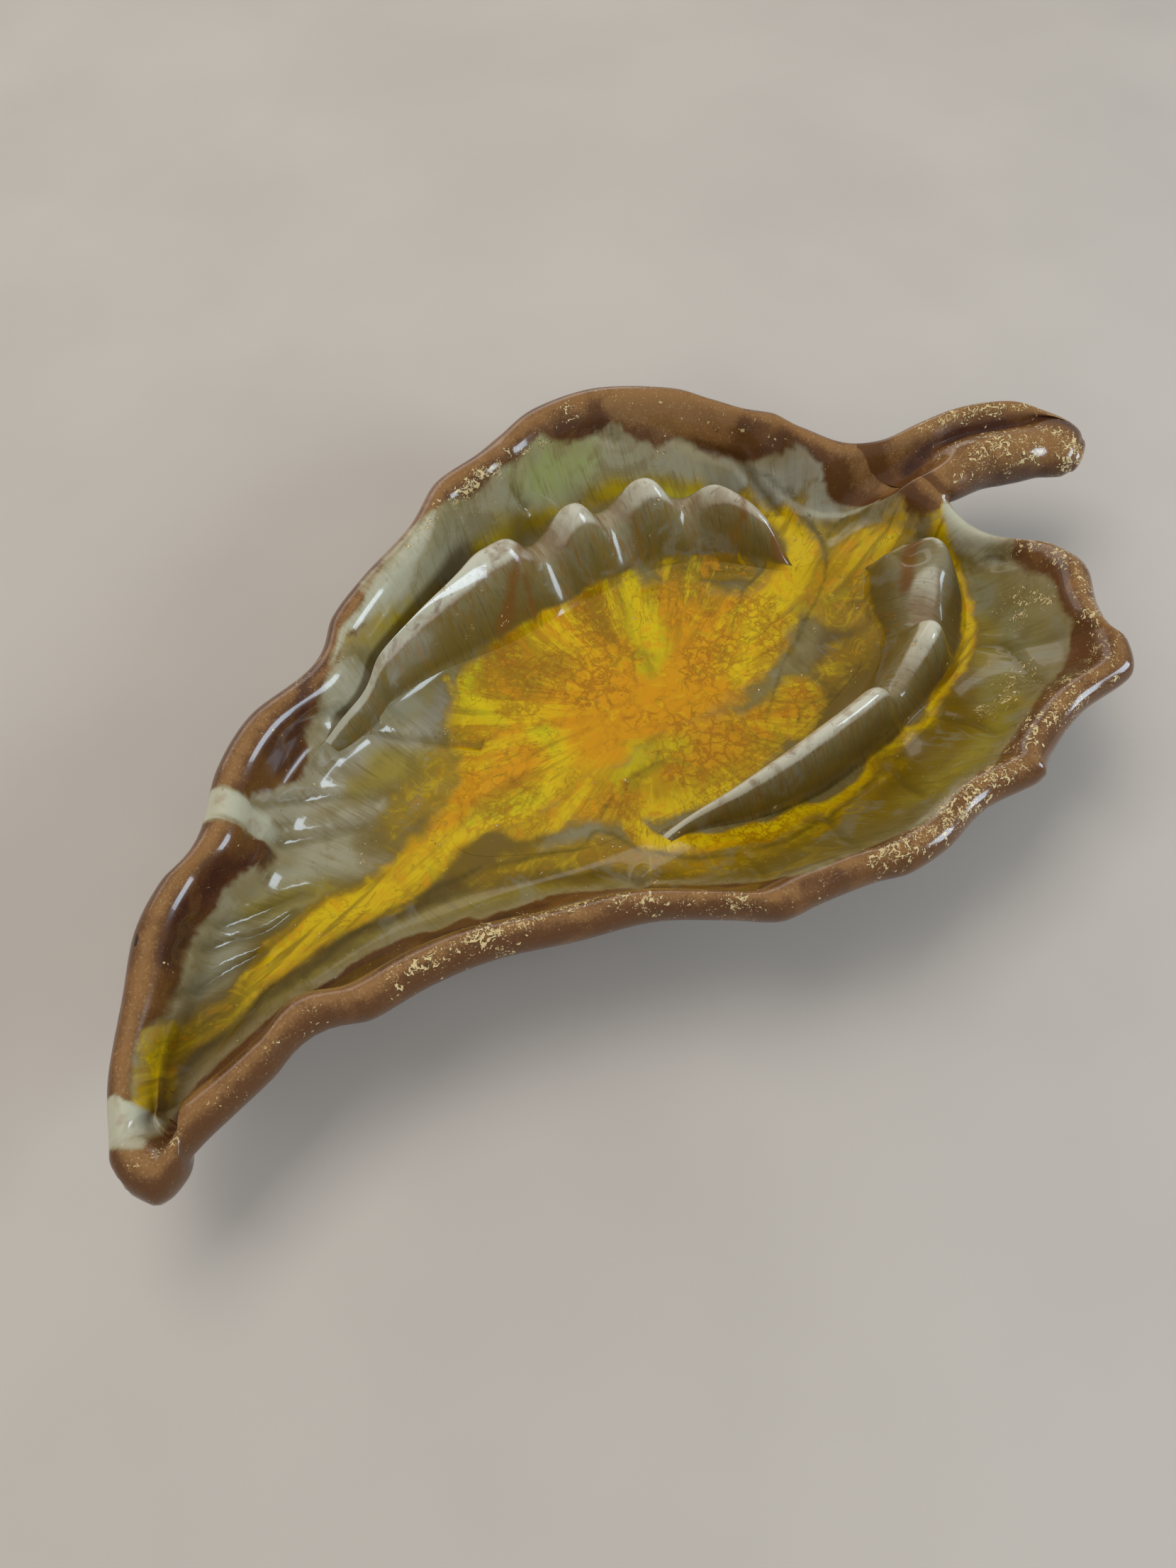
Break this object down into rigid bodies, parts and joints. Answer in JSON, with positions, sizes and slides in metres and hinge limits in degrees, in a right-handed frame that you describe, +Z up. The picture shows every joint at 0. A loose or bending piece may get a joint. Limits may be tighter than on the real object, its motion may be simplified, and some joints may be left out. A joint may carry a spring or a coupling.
{
  "type": "leaf dish",
  "caption": "Shallow leaf-shaped pottery dish with a rolled edge, notched rests along both sides of its basin, a short twisted stem and a pool of glass glaze.",
  "frame": {"origin": "middle of the bounding box, on the plane the foot ring stands on", "axes": "+X towards the end of the stem, -X towards the tip of the leaf, +Y towards the rest with three notches, +Z up"},
  "size_m": [0.345, 0.1868, 0.0502],
  "materials": {
    "brown_glaze": "glossy brown glaze on the rolled edge and stem, running down into a translucent grey-olive glaze on the walls",
    "cream_glaze": "glossy cream glaze with rust and dark specks on the crests",
    "amber_pool": "clear amber glass glaze with a fine crackle",
    "bare_clay": "bare fired clay where the foot is wiped clean"
  },
  "bodies": {
    "root": {"leaf_bowl": "brown_glaze", "foot_ring": "bare_clay", "left_rest": "cream_glaze", "right_rest": "cream_glaze", "stem": "brown_glaze", "glaze_pool": "amber_pool"}
  },
  "joints": []
}
